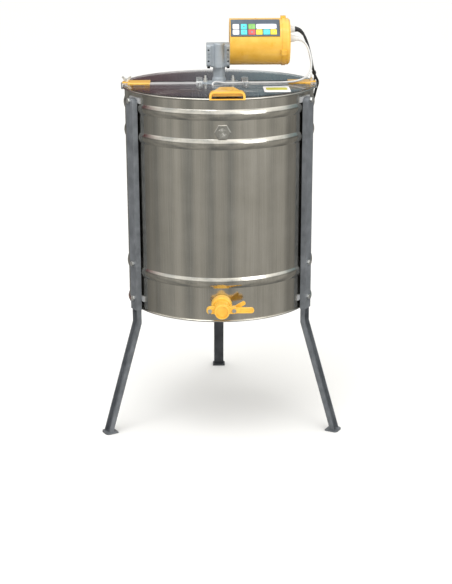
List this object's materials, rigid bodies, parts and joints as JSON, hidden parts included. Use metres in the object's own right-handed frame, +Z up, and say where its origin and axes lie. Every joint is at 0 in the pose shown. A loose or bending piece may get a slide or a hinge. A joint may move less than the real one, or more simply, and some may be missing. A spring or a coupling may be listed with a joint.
{
  "type": "honey extractor",
  "caption": "Motor-driven radial honey extractor: upright stainless drum on three splayed channel legs, hinged clear lids, cross bar with gearbox and motor, and a plastic honey gate.",
  "frame": {"origin": "on the floor under the drum's axis, at the centre of the three foot holes", "axes": "+Z up along the drum's axis; -Y towards the honey gate; +X towards the motor housing"},
  "size_m": [0.6822, 0.7203, 1.1496],
  "materials": {
    "stainless": "polished stainless sheet",
    "leg_paint": "blue-grey hammered paint",
    "zinc_steel": "zinc plated",
    "yellow_nylon": "moulded nylon",
    "black_rubber": "black PVC and rubber",
    "bar_steel": "brushed stainless",
    "yellow_plastic": "moulded plastic, semi-gloss",
    "gearbox_paint": "cast aluminium, grey paint",
    "bronze": "bronze",
    "reel_steel": "stainless wire and strip",
    "white_pvc": "white PVC",
    "panel_foil": "slate grey membrane foil",
    "clear_lid": "clear polycarbonate",
    "key_cyan": "domed key",
    "key_green": "domed key",
    "key_red": "domed key",
    "key_yellow": "domed key"
  },
  "bodies": {
    "frame": {"drum_shell": "stainless", "drum_floor": "stainless", "badge": "stainless", "cord_hook": "stainless", "left_leg_upper": "leg_paint", "right_leg_upper": "leg_paint", "back_leg_upper": "leg_paint", "left_leg_lower": "leg_paint", "right_leg_lower": "leg_paint", "back_leg_lower": "leg_paint", "leg_pads": "leg_paint", "leg_bolts": "zinc_steel", "valve_nut": "yellow_nylon", "valve_seal": "black_rubber", "valve_body": "yellow_nylon", "valve_screws": "zinc_steel", "cross_bar": "bar_steel", "left_clamp": "yellow_plastic", "right_clamp": "yellow_plastic", "rim_hooks": "zinc_steel", "gearbox_column": "gearbox_paint", "plate_bolts": "zinc_steel", "gearbox_housing": "gearbox_paint", "gearbox_cover": "gearbox_paint", "gearbox_screws": "zinc_steel", "reel_bearings": "bronze", "motor_can": "reel_steel", "motor_housing": "yellow_plastic", "motor_end_cap": "yellow_plastic", "cable_glands": "white_pvc", "control_panel": "panel_foil", "fixed_hinges": "bar_steel", "lid_switch": "black_rubber", "switch_cable": "white_pvc", "mains_cord": "black_rubber", "mains_coil": "black_rubber", "cord_tie": "black_rubber", "mains_plug": "black_rubber", "cord_clip": "black_rubber"},
    "reel": {"reel_shaft": "reel_steel", "reel_wheels": "reel_steel", "reel_bars": "reel_steel", "worm_wheel": "bronze"},
    "worm": {"motor_shaft": "reel_steel"},
    "front_lid": {"front_lid": "clear_lid", "front_lid_hinges": "bar_steel", "lid_handle": "yellow_plastic"},
    "back_lid": {"back_lid": "clear_lid", "back_lid_hinges": "bar_steel"},
    "valve_gate": {"valve_gate": "yellow_nylon"},
    "valve_thumb_nut": {"valve_thumb_nut": "yellow_nylon"},
    "left_wing_nut": {"left_wing_nut": "zinc_steel"},
    "right_wing_nut": {"right_wing_nut": "zinc_steel"},
    "lamp_key_upper": {"lamp_key_upper": "key_cyan"},
    "lamp_key_lower": {"lamp_key_lower": "key_cyan"},
    "start_key": {"start_key": "key_green"},
    "stop_key": {"stop_key": "key_red"},
    "minus_key": {"minus_key": "key_yellow"},
    "menu_key": {"menu_key": "key_cyan"},
    "plus_key": {"plus_key": "key_yellow"}
  },
  "joints": [
    {"name": "reel_spin", "type": "hinge", "parent": "frame", "child": "reel", "pos_m": [0, 0, 0.6], "axis": [0, 0, 1], "continuous": true},
    {"name": "worm_spin", "type": "hinge", "parent": "frame", "child": "worm", "pos_m": [0.05, 0.0226, 1.05], "axis": [1, 0, 0], "continuous": true},
    {"name": "front_lid_hinge", "type": "hinge", "parent": "frame", "child": "front_lid", "pos_m": [0, -0.033, 0.9726], "axis": [-1, 0, 0], "range_deg": [0, 60]},
    {"name": "back_lid_hinge", "type": "hinge", "parent": "frame", "child": "back_lid", "pos_m": [0, 0.033, 0.9726], "axis": [1, 0, 0], "range_deg": [0, 60]},
    {"name": "valve_gate_pivot", "type": "hinge", "parent": "frame", "child": "valve_gate", "pos_m": [0.0325, -0.315, 0.404], "axis": [0, 1, 0], "range_deg": [0, 90]},
    {"name": "valve_thumb_nut_turn", "type": "hinge", "parent": "frame", "child": "valve_thumb_nut", "pos_m": [0.0325, -0.3, 0.404], "axis": [0, 1, 0], "range_deg": [0, 150]},
    {"name": "left_wing_nut_turn", "type": "hinge", "parent": "frame", "child": "left_wing_nut", "pos_m": [-0.2565, 0, 0.98], "axis": [0, 0, 1], "continuous": true},
    {"name": "right_wing_nut_turn", "type": "hinge", "parent": "frame", "child": "right_wing_nut", "pos_m": [0.2565, 0, 0.98], "axis": [0, 0, 1], "continuous": true},
    {"name": "lamp_key_upper_press", "type": "slide", "parent": "frame", "child": "lamp_key_upper", "axis": [0, 0.6691, -0.7431], "range_m": [0, 0.0006], "stiffness_N_per_m": 300, "springref_m": -0.0006},
    {"name": "lamp_key_lower_press", "type": "slide", "parent": "frame", "child": "lamp_key_lower", "axis": [0, 0.6691, -0.7431], "range_m": [0, 0.0006], "stiffness_N_per_m": 300, "springref_m": -0.0006},
    {"name": "start_key_press", "type": "slide", "parent": "frame", "child": "start_key", "axis": [0, 0.6691, -0.7431], "range_m": [0, 0.0006], "stiffness_N_per_m": 300, "springref_m": -0.0006},
    {"name": "stop_key_press", "type": "slide", "parent": "frame", "child": "stop_key", "axis": [0, 0.6691, -0.7431], "range_m": [0, 0.0006], "stiffness_N_per_m": 300, "springref_m": -0.0006},
    {"name": "minus_key_press", "type": "slide", "parent": "frame", "child": "minus_key", "axis": [0, 0.6691, -0.7431], "range_m": [0, 0.0006], "stiffness_N_per_m": 300, "springref_m": -0.0006},
    {"name": "menu_key_press", "type": "slide", "parent": "frame", "child": "menu_key", "axis": [0, 0.6691, -0.7431], "range_m": [0, 0.0006], "stiffness_N_per_m": 300, "springref_m": -0.0006},
    {"name": "plus_key_press", "type": "slide", "parent": "frame", "child": "plus_key", "axis": [0, 0.6691, -0.7431], "range_m": [0, 0.0006], "stiffness_N_per_m": 300, "springref_m": -0.0006}
  ],
  "couplings": [
    {"joint": "worm_spin", "follows": "reel_spin", "ratio": 30}
  ]
}
